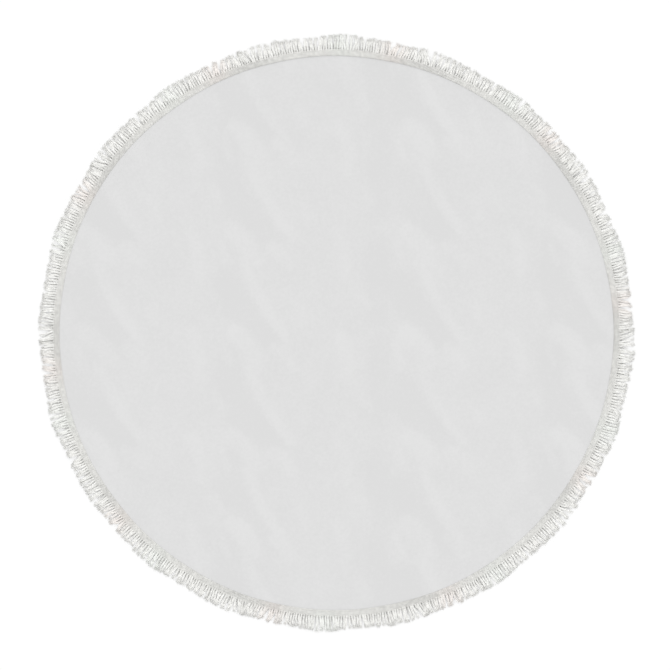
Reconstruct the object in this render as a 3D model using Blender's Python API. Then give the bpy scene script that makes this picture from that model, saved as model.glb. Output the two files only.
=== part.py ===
"""A round beach towel, laid open and flat, face up.

A disc of plush cloth carries a fringe trim all round. The trim's woven heading lies on the face of
the cloth and covers its cut edge. The fringe's locks leave the heading's outer edge, drop to the
surface just past the cloth, and lie level on it. Lengths are metres, +Z is up, and the origin is on
the surface under the middle of the cloth.
"""

import math
from collections import namedtuple

import bmesh
import bpy
import numpy as np

# The trim, from the tips of the fringe inwards
TOWEL_ACROSS = 1.524
FRINGE_LENGTH = 0.0365
HEADING_WIDTH = 0.0165
HEADING_THICKNESS = 0.0016
TRIM_GAP = 0.0003

# The cloth, whose edge stops a little short of the heading's outer edge
CLOTH_THICKNESS = 0.0026
EDGE_SETBACK = 0.0025
EDGE_ROUNDING = 0.0008

TIP_RADIUS = TOWEL_ACROSS / 2
HEADING_OUTER = TIP_RADIUS - FRINGE_LENGTH
HEADING_INNER = HEADING_OUTER - HEADING_WIDTH
CLOTH_RADIUS = HEADING_OUTER - EDGE_SETBACK
HEADING_BOTTOM = CLOTH_THICKNESS + TRIM_GAP
HEADING_TOP = HEADING_BOTTOM + HEADING_THICKNESS

# How finely the cloth is divided
CLOTH_SECTORS = 96
CLOTH_RINGS = 14

# The sewn edge isn't a true circle: each row is one slow wave in its radius
Wander = namedtuple("Wander", "waves height turn")
EDGE_WANDER = (
    Wander(waves=3, height=0.0007, turn=0.4),
    Wander(waves=7, height=0.0005, turn=2.1),
    Wander(waves=16, height=0.0004, turn=1.2),
)

# The cloth's face swells a little along soft creases, which run down to the right in even rows
SWELL_HEIGHT = 0.0012
CREASE_PITCH_ACROSS = 0.405
CREASE_PITCH_DOWN = 0.26
CREASE_SLANT = 0.55
CREASE_MIDDLE = (-0.10, -0.035)
FLAT_RIM = 0.05

# The trim is one length of tape, laid clockwise from its join. Its fringe repeats a run of tufts, and the
# tape starts with this tuft of a run, counted from 0
TAPE_JOIN = math.radians(215.7)
FIRST_TUFT = 18
YARN_COUNT = 714
YARN_PITCH = math.tau / YARN_COUNT

# The tufts of one run, clockwise: the yarns in each, the locks that stand for them, how far they reach as
# a share of the fringe's length, how many degrees they lean clockwise, and how many degrees each side of
# the tuft leans in towards its middle
Tuft = namedtuple("Tuft", "yarns locks reach lean gather")
TUFT_RUN = (
    Tuft(yarns=4, locks=1, reach=0.91, lean=-3, gather=3),
    Tuft(yarns=1, locks=1, reach=0.87, lean=7, gather=0),
    Tuft(yarns=4, locks=1, reach=0.94, lean=3, gather=3),
    Tuft(yarns=2, locks=1, reach=1.00, lean=1, gather=4),
    Tuft(yarns=2, locks=1, reach=1.05, lean=-1, gather=0),
    Tuft(yarns=3, locks=1, reach=1.10, lean=-5, gather=2),
    Tuft(yarns=1, locks=1, reach=1.09, lean=-9, gather=0),
    Tuft(yarns=1, locks=1, reach=1.04, lean=1, gather=0),
    Tuft(yarns=4, locks=1, reach=1.05, lean=-2, gather=2),
    Tuft(yarns=2, locks=1, reach=1.00, lean=-3, gather=1),
    Tuft(yarns=5, locks=2, reach=0.97, lean=2, gather=2),
    Tuft(yarns=1, locks=1, reach=0.93, lean=3, gather=0),
    Tuft(yarns=4, locks=1, reach=0.97, lean=1, gather=3),
    Tuft(yarns=3, locks=1, reach=0.92, lean=5, gather=3),
    Tuft(yarns=3, locks=1, reach=0.88, lean=14, gather=4),
    Tuft(yarns=5, locks=2, reach=0.93, lean=4, gather=2),
    Tuft(yarns=5, locks=2, reach=1.00, lean=-18, gather=12),
    Tuft(yarns=1, locks=1, reach=0.94, lean=-14, gather=0),
    Tuft(yarns=2, locks=1, reach=1.02, lean=-8, gather=2),
    Tuft(yarns=2, locks=1, reach=1.05, lean=7, gather=3),
    Tuft(yarns=4, locks=1, reach=1.02, lean=0, gather=4),
    Tuft(yarns=3, locks=1, reach=1.05, lean=-2, gather=1),
    Tuft(yarns=1, locks=1, reach=0.91, lean=0, gather=0),
    Tuft(yarns=3, locks=1, reach=0.99, lean=-2, gather=3),
    Tuft(yarns=1, locks=1, reach=0.86, lean=3, gather=0),
    Tuft(yarns=4, locks=1, reach=0.93, lean=-4, gather=3),
    Tuft(yarns=1, locks=1, reach=0.87, lean=0, gather=0),
)

# A lock past its root, where it lies on the surface: its width as a share of its root's, and its thickness
Station = namedtuple("Station", "along width thickness")
LOCK_STATIONS = (
    Station(along=0.30, width=1.03, thickness=0.0030),
    Station(along=0.80, width=1.00, thickness=0.0026),
    Station(along=1.00, width=0.70, thickness=0.0013),
)

# How much of its yarns' edge a lock's root takes, how far its upper corners stand in from its lower ones,
# and the least that a lock and the gap beside it measure
ROOT_SHARE = 0.84
CROWN_INSET = 0.0015
LEAST_WIDTH = 0.0030
LOCK_GAP = 0.0012

# Chance differences between one run and the next: in reach, in degrees of lean, and in how far a tip is cut
# aslant
REACH_SPREAD = 0.03
LEAN_SPREAD = 1.5
TIP_SKEW = 0.0016
FRINGE_SEED = 7

SMOOTH_ANGLE = math.radians(40)


def clear_scene():
    """Removes whatever the scene starts with."""
    for obj in list(bpy.data.objects):
        bpy.data.objects.remove(obj)


def fabric(name, colour, roughness):
    """A plain fabric finish."""
    material = bpy.data.materials.new(name)
    material.use_nodes = True
    shader = material.node_tree.nodes["Principled BSDF"]
    shader.inputs["Base Color"].default_value = (*colour, 1.0)
    shader.inputs["Roughness"].default_value = roughness
    shader.inputs["Metallic"].default_value = 0.0
    return material


def add_object(name, bm, material):
    """Makes a named, smooth-shaded object of a finished mesh."""
    bmesh.ops.recalc_face_normals(bm, faces=bm.faces)
    mesh = bpy.data.meshes.new(name)
    bm.to_mesh(mesh)
    bm.free()
    mesh.materials.append(material)
    mesh.shade_smooth()
    mesh.set_sharp_from_angle(angle=SMOOTH_ANGLE)
    obj = bpy.data.objects.new(name, mesh)
    bpy.context.scene.collection.objects.link(obj)
    return obj


def edge_wander(angle):
    """How far the sewn edge lies outside its true circle in this direction."""
    return sum(w.height * math.sin(w.waves * angle + w.turn) for w in EDGE_WANDER)


def polar(radius, angle, sideways, height):
    """A point by its radius and direction, moved sideways along the edge."""
    x = radius * math.cos(angle) - sideways * math.sin(angle)
    y = radius * math.sin(angle) + sideways * math.cos(angle)
    return (x, y, height)


def swell(x, y):
    """How far the cloth's face stands proud of its flat thickness.

    One wave runs square to the slanted creases and one down the rows, and the cloth is highest where
    both are. The swell fades out before the heading, which lies on flat cloth.
    """
    from_middle_x = x - CREASE_MIDDLE[0]
    from_middle_y = y - CREASE_MIDDLE[1]
    across = (from_middle_x + CREASE_SLANT * from_middle_y) / CREASE_PITCH_ACROSS
    down = from_middle_y / CREASE_PITCH_DOWN
    cell = 0.5 + 0.25 * (math.cos(math.tau * across) + math.cos(math.tau * down))
    to_rim = (HEADING_INNER - FLAT_RIM - math.hypot(x, y)) / FLAT_RIM
    fade = min(max(to_rim, 0.0), 1.0)
    return SWELL_HEIGHT * cell * fade * fade * (3 - 2 * fade)


def add_ring(bm, radius, height):
    """A closed ring of points at this radius, following the sewn edge more the further out it is."""
    ring = []
    for sector in range(CLOTH_SECTORS):
        angle = math.tau * sector / CLOTH_SECTORS
        reach = radius + edge_wander(angle) * radius / CLOTH_RADIUS
        x, y, _ = polar(reach, angle, 0.0, 0.0)
        ring.append(bm.verts.new((x, y, height(x, y))))
    return ring


def bridge(bm, lower, upper):
    """Joins two closed rings of as many points with a band of faces."""
    count = len(lower)
    for i in range(count):
        after = (i + 1) % count
        bm.faces.new((lower[i], lower[after], upper[after], upper[i]))


def close_with_fan(bm, ring, height):
    """Closes a ring with triangles round a middle point."""
    middle = bm.verts.new((0.0, 0.0, height))
    for i, vert in enumerate(ring):
        bm.faces.new((vert, ring[(i + 1) % len(ring)], middle))


def build_cloth(material):
    """The disc of cloth: flat underneath, softly swelling on its face, with a rounded edge."""
    bm = bmesh.new()
    flat_edge = CLOTH_RADIUS - EDGE_ROUNDING
    face_rings = [
        add_ring(bm, flat_edge * (k + 1) / CLOTH_RINGS, lambda x, y: CLOTH_THICKNESS + swell(x, y))
        for k in range(CLOTH_RINGS)
    ]
    upper_edge = add_ring(bm, CLOTH_RADIUS, lambda x, y: CLOTH_THICKNESS - EDGE_ROUNDING)
    lower_edge = add_ring(bm, CLOTH_RADIUS, lambda x, y: EDGE_ROUNDING)
    underside = add_ring(bm, flat_edge, lambda x, y: 0.0)
    sheets = [*face_rings, upper_edge, lower_edge, underside]
    for inner, outer in zip(sheets, sheets[1:]):
        bridge(bm, inner, outer)
    close_with_fan(bm, face_rings[0], CLOTH_THICKNESS + swell(0.0, 0.0))
    close_with_fan(bm, underside, 0.0)
    return add_object("towel_cloth", bm, material)


def list_locks():
    """Shares the tape's yarns out into locks, clockwise from the join.

    Each row of the result is a lock's first and last yarn, its reach, its lean, and how far its two
    sides lean in.
    """
    rows = []
    yarn, number = 0, FIRST_TUFT
    while yarn < YARN_COUNT:
        tuft = TUFT_RUN[number % len(TUFT_RUN)]
        share = tuft.yarns / tuft.locks
        for lock in range(tuft.locks):
            start = yarn + lock * share
            lean = tuft.lean + tuft.gather * (1 - (2 * lock + 1) / tuft.locks)
            rows.append((start, start + share, tuft.reach, lean, tuft.gather / tuft.locks))
        yarn += tuft.yarns
        number += 1
    return np.array(rows)


def lock_sides(rows, dice):
    """Each lock's reach, and its two sides at its root and at each station.

    A side is a clockwise way along the heading's edge. Where neighbours would come closer than the
    gap between locks, both give way by half.
    """
    first, last, reach, lean, gather = rows.T
    reach = reach + dice.uniform(-1, 1, len(rows)) * REACH_SPREAD
    lean = lean + dice.uniform(-1, 1, len(rows)) * LEAN_SPREAD
    arc = HEADING_OUTER * YARN_PITCH
    middle = (first + last) / 2 * arc
    half = (last - first) / 2 * arc * ROOT_SHARE
    sides = [(middle - half, middle + half)]
    for station in LOCK_STATIONS:
        out = FRINGE_LENGTH * reach * station.along
        centre = middle + np.tan(np.radians(lean)) * out
        narrow = half * station.width - np.tan(np.radians(gather)) * out
        narrow = np.maximum(narrow, LEAST_WIDTH / 2)
        start, end = centre - narrow, centre + narrow
        after = np.roll(start, -1)
        after[-1] += math.tau * HEADING_OUTER
        give = np.maximum(LOCK_GAP - (after - end), 0.0) / 2
        sides.append((start + np.roll(give, 1), end - give))
    return reach, sides


def add_pair(bm, angle, radius):
    """Two points of the heading in one direction, its lower and its upper edge."""
    return (
        bm.verts.new(polar(radius, angle, 0.0, HEADING_BOTTOM)),
        bm.verts.new(polar(radius, angle, 0.0, HEADING_TOP)),
    )


def add_section(bm, thickness, angle, outs, sides):
    """The four corners of a lock at one station, narrower on top, in the order of its root's corners."""
    root_radius = HEADING_OUTER + edge_wander(angle)
    inset = min(CROWN_INSET, (sides[1] - sides[0]) / 4)
    corners = []
    for out, side, inwards in zip(outs, sides, (inset, -inset)):
        foot = polar(root_radius + out, angle, -side, 0.0)
        crown = polar(root_radius + out, angle, -side - inwards, thickness)
        corners.append((bm.verts.new(foot), bm.verts.new(crown)))
    (low_start, high_start), (low_end, high_end) = corners
    return [low_start, low_end, high_end, high_start]


def build_trim(material):
    """The fringe trim: one flat woven heading all round, with the locks' roots grown into its outer edge."""
    bm = bmesh.new()
    dice = np.random.default_rng(FRINGE_SEED)
    rows = list_locks()
    reach, sides = lock_sides(rows, dice)
    skew = dice.uniform(-1, 1, len(rows)) * TIP_SKEW
    middles = (sides[0][0] + sides[0][1]) / 2
    starts, ends, inners = [], [], []
    for i, middle in enumerate(middles):
        for edge, side in ((starts, sides[0][0][i]), (ends, sides[0][1][i])):
            direction = TAPE_JOIN - side / HEADING_OUTER
            edge.append(add_pair(bm, direction, HEADING_OUTER + edge_wander(direction)))
        angle = TAPE_JOIN - middle / HEADING_OUTER
        inners.append(add_pair(bm, angle, HEADING_INNER + edge_wander(angle)))
        section = [starts[i][0], ends[i][0], ends[i][1], starts[i][1]]
        for station, (start, end) in zip(LOCK_STATIONS, sides[1:]):
            out = FRINGE_LENGTH * reach[i] * station.along
            outs = (out - skew[i] * station.along, out + skew[i] * station.along)
            following = add_section(bm, station.thickness, angle, outs, (start[i] - middle, end[i] - middle))
            bridge(bm, section, following)
            section = following
        bm.faces.new(section)
    for i in range(len(middles)):
        after = (i + 1) % len(middles)
        (start_low, start_high), (end_low, end_high) = starts[i], ends[i]
        next_low, next_high = starts[after]
        (inner_low, inner_high), (beyond_low, beyond_high) = inners[i], inners[after]
        bm.faces.new((inner_high, start_high, end_high))
        bm.faces.new((inner_low, end_low, start_low))
        bm.faces.new((inner_high, end_high, next_high, beyond_high))
        bm.faces.new((inner_low, beyond_low, next_low, end_low))
        bm.faces.new((inner_low, inner_high, beyond_high, beyond_low))
        bm.faces.new((end_low, next_low, next_high, end_high))
    return add_object("fringe_trim", bm, material)


def main():
    clear_scene()
    build_cloth(fabric("plush_grey", colour=(0.70, 0.70, 0.70), roughness=0.95))
    build_trim(fabric("natural_cotton", colour=(0.80, 0.79, 0.76), roughness=0.9))


main()
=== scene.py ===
"""A round beach towel lying open and flat: its looks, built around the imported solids.

A disc of pale grey plush lies face up. A woven cotton heading is sewn over its edge all round, and
loosely twisted yarns leave the heading, drop to the surface and lie on it in uneven tufts. Lengths
are metres, +Z is up, +Y is the top of the picture, and the origin is on the surface under the
middle of the cloth.
"""

import logging
import math
from dataclasses import astuple, dataclass
from enum import Enum, IntEnum

import bpy
import numpy as np
from numpy.typing import NDArray
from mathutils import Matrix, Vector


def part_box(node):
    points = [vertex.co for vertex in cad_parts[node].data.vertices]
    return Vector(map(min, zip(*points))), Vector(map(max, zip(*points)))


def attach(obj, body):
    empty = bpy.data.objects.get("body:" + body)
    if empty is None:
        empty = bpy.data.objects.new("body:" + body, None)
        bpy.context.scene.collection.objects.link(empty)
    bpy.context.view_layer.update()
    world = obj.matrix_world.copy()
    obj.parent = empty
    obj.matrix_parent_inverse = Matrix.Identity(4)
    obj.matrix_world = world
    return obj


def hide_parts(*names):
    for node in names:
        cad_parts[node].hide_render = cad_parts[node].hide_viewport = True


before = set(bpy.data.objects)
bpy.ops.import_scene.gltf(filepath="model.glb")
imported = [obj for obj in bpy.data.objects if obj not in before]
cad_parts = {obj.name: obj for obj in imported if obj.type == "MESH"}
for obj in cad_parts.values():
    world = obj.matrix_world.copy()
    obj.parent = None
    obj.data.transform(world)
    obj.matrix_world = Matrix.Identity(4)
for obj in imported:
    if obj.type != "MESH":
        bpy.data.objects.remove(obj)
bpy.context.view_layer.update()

log = logging.getLogger("towel")

Array = NDArray[np.float64]
Colour = tuple[float, float, float]
Place = tuple[float, float]
Scale = tuple[float, float, float]

UP = np.array((0.0, 0.0, 1.0))
BODY = "root"
CLOTH_NODE = "towel_cloth"
TRIM_NODE = "fringe_trim"


class Slot(Enum):
    """The record's material slots."""

    CLOTH = "plush_cloth"
    YARN = "fringe_yarn"


@dataclass(frozen=True)
class Wave:
    """One slow wave round the towel: how many times it repeats, how high it is, and where it starts."""

    repeats: int
    height: float
    turn: float


def sum_of_waves(waves: tuple[Wave, ...], angle: Array) -> Array:
    """Adds up waves round the towel: each is its height times the sine of repeats times angle plus turn.

    Args:
        waves: The waves.
        angle: Directions from the middle, in radians.

    Returns:
        The sum in each direction.
    """
    return sum(wave.height * np.sin(wave.repeats * angle + wave.turn) for wave in waves)


def ease(share: Array) -> Array:
    """Turns a straight run from 0 to 1 into one that starts and ends gently: 3 s squared less 2 s cubed.

    Args:
        share: Values, of which those outside 0 to 1 count as the nearer end.

    Returns:
        The eased values.
    """
    held = np.clip(share, 0.0, 1.0)
    return held * held * (3.0 - 2.0 * held)


@dataclass(frozen=True)
class Tuft:
    """One tuft of the fringe: how many steps of the tape it spans, and how its yarns lie and look.

    Reach is a share of the fringe's length. Lean is in degrees clockwise, and gather is how many
    degrees each side leans in. Curl is how far the outer yarns' ends then turn in, or clockwise for a
    lone yarn. Sway is how many degrees more clockwise the yarns lean at their roots, and less at their
    ends.
    """

    steps: int
    reach: float
    lean: float
    gather: float
    curl: float
    sway: float


@dataclass(frozen=True)
class Drift:
    """A slow rise and fall of the cotton's look along each run: its middle, half width and height."""

    middle: float
    half: float
    height: float

    def at(self, step: Array, run_steps: int) -> Array:
        """The drift's height at a place in the run: a bell, exp(-(distance / half)^2), round the run."""
        distance = (step - self.middle + run_steps / 2) % run_steps - run_steps / 2
        return self.height * np.exp(-((distance / self.half) ** 2))


@dataclass(frozen=True)
class TuftTape:
    """The trim as one length of tape, laid clockwise from its join, whose fringe repeats a run of tufts.

    Three charts hold one digit for each yarn of a run, clockwise, from 0 to 4: how wide and long the
    gap on the yarn's clockwise side is, how much lighter the yarn's middle is painted, as its
    cotton's tone and a painted highlight, and how much darker its end is painted, as shade. A few of
    the run's gaps have a charted place, counted in steps from the run's start, and the others are
    spread evenly between those.
    """

    join: float = math.radians(215.7)
    steps: int = 714
    first_tuft: int = 18
    run: tuple[Tuft, ...] = (
        Tuft(steps=4, reach=0.91, lean=-5, gather=4, curl=50, sway=5),
        Tuft(steps=1, reach=0.87, lean=-1, gather=0, curl=15, sway=0),
        Tuft(steps=4, reach=0.94, lean=4, gather=5, curl=45, sway=0),
        Tuft(steps=2, reach=1.00, lean=0, gather=5, curl=10, sway=0),
        Tuft(steps=2, reach=1.05, lean=1, gather=0, curl=0, sway=6),
        Tuft(steps=3, reach=1.10, lean=-3, gather=6, curl=0, sway=0),
        Tuft(steps=1, reach=1.09, lean=-4, gather=0, curl=-10, sway=0),
        Tuft(steps=1, reach=1.04, lean=3, gather=0, curl=30, sway=4),
        Tuft(steps=4, reach=1.05, lean=-3, gather=3, curl=40, sway=8),
        Tuft(steps=2, reach=1.00, lean=-4, gather=1, curl=15, sway=10),
        Tuft(steps=5, reach=0.97, lean=2, gather=1, curl=20, sway=7),
        Tuft(steps=1, reach=0.93, lean=3, gather=0, curl=10, sway=0),
        Tuft(steps=4, reach=0.97, lean=-2, gather=5, curl=45, sway=6),
        Tuft(steps=3, reach=0.92, lean=8, gather=5, curl=45, sway=-6),
        Tuft(steps=3, reach=0.88, lean=12, gather=4, curl=15, sway=6),
        Tuft(steps=5, reach=0.93, lean=3, gather=5, curl=20, sway=12),
        Tuft(steps=5, reach=1.00, lean=-15, gather=13, curl=10, sway=0),
        Tuft(steps=1, reach=0.94, lean=-15, gather=0, curl=0, sway=0),
        Tuft(steps=2, reach=1.02, lean=-8, gather=2, curl=35, sway=-6),
        Tuft(steps=2, reach=1.05, lean=3, gather=4, curl=-20, sway=0),
        Tuft(steps=4, reach=1.02, lean=0, gather=8, curl=40, sway=4),
        Tuft(steps=3, reach=1.05, lean=-2, gather=-1, curl=5, sway=0),
        Tuft(steps=1, reach=0.91, lean=0, gather=0, curl=0, sway=0),
        Tuft(steps=3, reach=0.99, lean=-1, gather=3, curl=45, sway=0),
        Tuft(steps=1, reach=0.86, lean=3, gather=0, curl=0, sway=0),
        Tuft(steps=4, reach=0.93, lean=-6, gather=4, curl=40, sway=-5),
        Tuft(steps=1, reach=0.87, lean=0, gather=0, curl=10, sway=0),
    )
    hues: tuple[Drift, ...] = (
        Drift(middle=14.0, half=5.0, height=-1.0),
        Drift(middle=35.0, half=5.0, height=1.0),
    )
    dullings: tuple[Drift, ...] = (Drift(middle=47.0, half=13.0, height=-0.9),)
    gap_places: tuple[Place, ...] = ((0, 0.35), (18, 19.5), (45, 46.7), (70, 72.35))
    gaps: str = (
        "2313101321" "2222100032" "4423231121" "1313310212"
        "1321141140" "2301231314" "2321133302"
    )
    # Each yarn's middle is painted lighter by its digit, as its cotton's tone and a painted highlight.
    whiteness_and_highlight: str = (
        "3433242333" "4132343334" "3333323334" "2232442443"
        "2234212234" "3223433433" "3322343333"
    )
    # Each yarn's end is painted darker by its digit, as shade.
    end_shades: str = (
        "2123302224" "3321201231" "2333222212" "3220231113"
        "2213444210" "2122042333" "3232122124"
    )

    @property
    def pitch(self) -> float:
        """The angle of one step of the tape."""
        return math.tau / self.steps

    @property
    def run_steps(self) -> int:
        """How many steps of the tape one run of tufts takes."""
        return sum(tuft.steps for tuft in self.run)

    def gap_steps(self, number: NDArray[np.int64]) -> Array:
        """Steps from the first run's start to each gap, drawn straight between the charted ones."""
        charted, places = zip(*self.gap_places)
        runs, gap = np.divmod(number, len(self.gaps))
        return self.run_steps * runs + np.interp(gap, charted, places)

    def yarns(self) -> dict[str, Array]:
        """Reads the run and its charts for every yarn of the tape.

        A yarn lies midway between its two gaps. It belongs to the tuft in whose steps it lies.

        Returns:
            One array for each of a tuft's fields by its name. Angle is the yarn's direction from the
            middle, step how far along the tape it is, and span how many steps wide. Place runs from -1
            to 1 through its tuft, whose number is tuft. Hue runs from -1, cool, to 1, rosy, and weave
            is the heading's shade, from -1, dark, to 0. The charts' digits are before and after, for the
            gaps, and two more for how light the yarn's middle is painted, as tone and highlight, and how
            dark its end is painted, as shade.
        """
        ends = np.cumsum([tuft.steps for tuft in self.run])
        start = ends[self.first_tuft - 1]
        yarn = np.arange(len(self.gaps) * (self.steps // self.run_steps + 2))
        step = (self.gap_steps(yarn - 1) + self.gap_steps(yarn)) / 2
        kept = (step > start) & (step < start + self.steps)
        yarn, step = yarn[kept], step[kept]
        runs, in_run = np.divmod(step, self.run_steps)
        tuft = np.searchsorted(ends, in_run, side="right")
        table = np.array([astuple(row) for row in self.run], dtype=float)
        found = dict(zip(Tuft.__dataclass_fields__, table[tuft].T))
        found["place"] = 1 - 2 * (ends[tuft] - in_run) / found["steps"]
        found["tuft"] = tuft + len(self.run) * runs
        found["step"] = step - start
        found["angle"] = self.join - found["step"] * self.pitch
        found["span"] = self.gap_steps(yarn) - self.gap_steps(yarn - 1)
        found["hue"] = sum(drift.at(in_run, self.run_steps) for drift in self.hues)
        found["weave"] = sum(drift.at(in_run, self.run_steps) for drift in self.dullings)
        charts = {
            "before": (self.gaps, -1),
            "after": (self.gaps, 0),
            "white": (self.whiteness_and_highlight, 0),
            "end_shade": (self.end_shades, 0),
        }
        for name, (chart, shift) in charts.items():
            digits = np.array([int(digit) for digit in chart], dtype=float)
            found[name] = digits[(yarn + shift) % len(chart)]
        return found

    def along(self, angle: Array, field: str) -> Array:
        """A tuft's field as a smooth function of direction, drawn straight from yarn to yarn.

        Args:
            angle: Directions from the middle.
            field: The field's name.

        Returns:
            The field's value in each direction.
        """
        yarns = self.yarns()
        return np.interp((self.join - angle) % math.tau / self.pitch, yarns["step"], yarns[field])


@dataclass(frozen=True)
class TowelPlan:
    """The towel's driving sizes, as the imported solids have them."""

    across: float = 1.524
    fringe_length: float = 0.0365
    heading_width: float = 0.0165
    heading_thickness: float = 0.0016
    trim_gap: float = 0.0003
    cloth_thickness: float = 0.0026
    edge_setback: float = 0.0025
    edge_rounding: float = 0.0008
    longest_tip: float = 0.005
    edge_waves: tuple[Wave, ...] = (
        Wave(repeats=3, height=0.0007, turn=0.4),
        Wave(repeats=7, height=0.0005, turn=2.1),
        Wave(repeats=16, height=0.0004, turn=1.2),
    )

    @property
    def heading_outer(self) -> float:
        """Radius of the heading's outer edge, where the yarns leave it."""
        return self.across / 2 - self.fringe_length

    @property
    def heading_inner(self) -> float:
        """Radius of the heading's inner edge."""
        return self.heading_outer - self.heading_width

    @property
    def cloth_radius(self) -> float:
        """Radius of the cloth, whose cut edge lies under the heading."""
        return self.heading_outer - self.edge_setback

    @property
    def heading_bottom(self) -> float:
        """Height of the heading's underside."""
        return self.cloth_thickness + self.trim_gap

    @property
    def heading_top(self) -> float:
        """Height of the heading's face."""
        return self.heading_bottom + self.heading_thickness

    def wander(self, angle: Array) -> Array:
        """How far the sewn edge lies outside its true circle in each direction."""
        return sum_of_waves(self.edge_waves, angle)

    def place(self, angle: Array, out: Array | float, side: Array | float, up: Array) -> Array:
        """Turns places measured from the sewn edge into points.

        The radius is the heading's outer radius plus the edge's wander plus the way out. The sideways
        part is then added square to that radius.

        Args:
            angle: Directions from the middle.
            out: Way outwards from the heading's outer edge.
            side: Way along the edge, against the clock.
            up: Height above the surface.

        Returns:
            Points, with x, y and z on the last axis.
        """
        reach = self.heading_outer + self.wander(angle) + out
        x = reach * np.cos(angle) - side * np.sin(angle)
        y = reach * np.sin(angle) + side * np.cos(angle)
        return np.stack(np.broadcast_arrays(x, y, up), axis=-1)

    def check_against(self, cloth_node: str, trim_node: str) -> None:
        """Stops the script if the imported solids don't have these sizes.

        Args:
            cloth_node: The cloth's solid.
            trim_node: The trim's solid.

        Raises:
            ValueError: If a size is further from the solid's than the longest tufts reach.
        """
        cloth_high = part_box(cloth_node)[1]
        trim_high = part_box(trim_node)[1]
        wanted = (self.cloth_radius, self.across / 2, self.heading_top)
        found = (cloth_high.x, trim_high.x, trim_high.z)
        if max(abs(a - b) for a, b in zip(wanted, found)) > self.longest_tip:
            raise ValueError(f"the packed solids measure {found}, not {wanted}")


@dataclass(frozen=True)
class Corners:
    """The faces of a mesh: four point numbers each, and where each corner lies on the piece's UV map."""

    faces: NDArray[np.int32]
    uv: Array


def grid_corners(rows: int, columns: int, wrap_rows: bool, wrap_columns: bool) -> Corners:
    """Lists the four-sided faces of a grid of points.

    Point (i, j) has number i times columns plus j. Each face runs (i, j), (i, j + 1), (i + 1, j + 1),
    (i + 1, j). Its corners' UV places are the same row and column numbers, not wrapped round.

    Args:
        rows: Rows of points.
        columns: Points in a row.
        wrap_rows: True if the last row joins the first.
        wrap_columns: True if each row is a closed ring.

    Returns:
        The faces with their corners' row and column numbers.
    """
    row_steps = np.arange(rows if wrap_rows else rows - 1)
    column_steps = np.arange(columns if wrap_columns else columns - 1)
    i, j = (steps.ravel() for steps in np.meshgrid(row_steps, column_steps, indexing="ij"))
    row = np.stack((i, i, i + 1, i + 1), axis=-1)
    column = np.stack((j, j + 1, j + 1, j), axis=-1)
    faces = (row % rows) * columns + column % columns
    return Corners(faces.astype(np.int32), np.stack((row, column), axis=-1).astype(float))


def tube_corners(stations: int, sides: int) -> Corners:
    """Lists the faces of one closed four-sided tube, its two end caps last.

    Args:
        stations: Rings of points along the tube.
        sides: Points on a ring, which is 4 so that a cap is one face.

    Returns:
        The faces with each corner's station and side number.
    """
    wall = grid_corners(stations, sides, wrap_rows=False, wrap_columns=True)
    ring = np.arange(sides)
    last = (stations - 1) * sides
    caps = np.stack((ring[::-1], last + ring)).astype(np.int32)
    cap_uv = np.stack((caps // sides, caps % sides), axis=-1).astype(float)
    return Corners(np.concatenate((wall.faces, caps)), np.concatenate((wall.uv, cap_uv)))


def repeated(one: Corners, points_each: int, copies: int) -> Corners:
    """Repeats one shape's faces for many copies whose points follow each other.

    Args:
        one: The faces of one shape.
        points_each: How many points a shape has.
        copies: How many shapes there are.

    Returns:
        The faces of them all.
    """
    shift = (np.arange(copies, dtype=np.int32) * points_each)[:, None, None]
    faces = (one.faces[None] + shift).reshape(-1, one.faces.shape[1])
    return Corners(faces, np.tile(one.uv, (copies, 1, 1)))


def tube_rings(centre: Array, radius: Array, sides: int, first: float = 0.0) -> Array:
    """Carries a ring of points along many paths at once.

    The way ahead at a station is the difference of its neighbours. Sideways is up crossed with it,
    and the third way is square to both. A ring's points are the centre plus the radius times the
    cosine of an even angle sideways plus its sine the third way.

    Args:
        centre: Path points, shaped (paths, stations, 3).
        radius: Radii, shaped (paths, stations).
        sides: Points on a ring.
        first: Angle of a ring's first point.

    Returns:
        Points shaped (paths, stations, sides, 3).
    """
    ahead, sideways, square = path_ways(centre)
    turn = first + np.linspace(0.0, math.tau, sides, endpoint=False)[:, None]
    spoke = np.cos(turn) * sideways[..., None, :] + np.sin(turn) * square[..., None, :]
    return centre[..., None, :] + radius[..., None, None] * spoke


def path_ways(centre: Array) -> tuple[Array, Array, Array]:
    """The way ahead, the level way sideways and the way square to both, all along many paths.

    Args:
        centre: Path points, shaped (paths, stations, 3). No path climbs straight up.

    Returns:
        Three arrays of unit vectors, shaped as the paths are.
    """
    ahead = np.gradient(centre, axis=1)
    ahead /= np.linalg.norm(ahead, axis=-1, keepdims=True)
    sideways = np.cross(UP, ahead)
    sideways /= np.linalg.norm(sideways, axis=-1, keepdims=True)
    return ahead, sideways, np.cross(ahead, sideways)


def make_piece(
    name: str, points: Array, corners: Corners, finish: bpy.types.Material
) -> bpy.types.Object:
    """Makes a smooth-shaded object of whole arrays, with its place in its mesh.

    Args:
        name: The object's name.
        points: Points, with x, y and z on the last axis.
        corners: Faces, with each corner's place on the UV map.
        finish: The material.

    Returns:
        The new object, which rides on the towel's one body.
    """
    mesh = bpy.data.meshes.new(name)
    flat_points = points.reshape(-1, 3)
    mesh.vertices.add(len(flat_points))
    mesh.vertices.foreach_set("co", flat_points.astype(np.float32).ravel())
    mesh.loops.add(corners.faces.size)
    mesh.loops.foreach_set("vertex_index", corners.faces.ravel())
    mesh.polygons.add(len(corners.faces))
    starts = np.arange(0, corners.faces.size, corners.faces.shape[1], dtype=np.int32)
    mesh.polygons.foreach_set("loop_start", starts)
    mesh.update(calc_edges=True)
    layer = mesh.uv_layers.new(name="UVMap")
    layer.data.foreach_set("uv", corners.uv.astype(np.float32).ravel())
    mesh.materials.append(finish)
    mesh.shade_smooth()
    piece = bpy.data.objects.new(name, mesh)
    bpy.context.scene.collection.objects.link(piece)
    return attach(piece, BODY)


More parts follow.
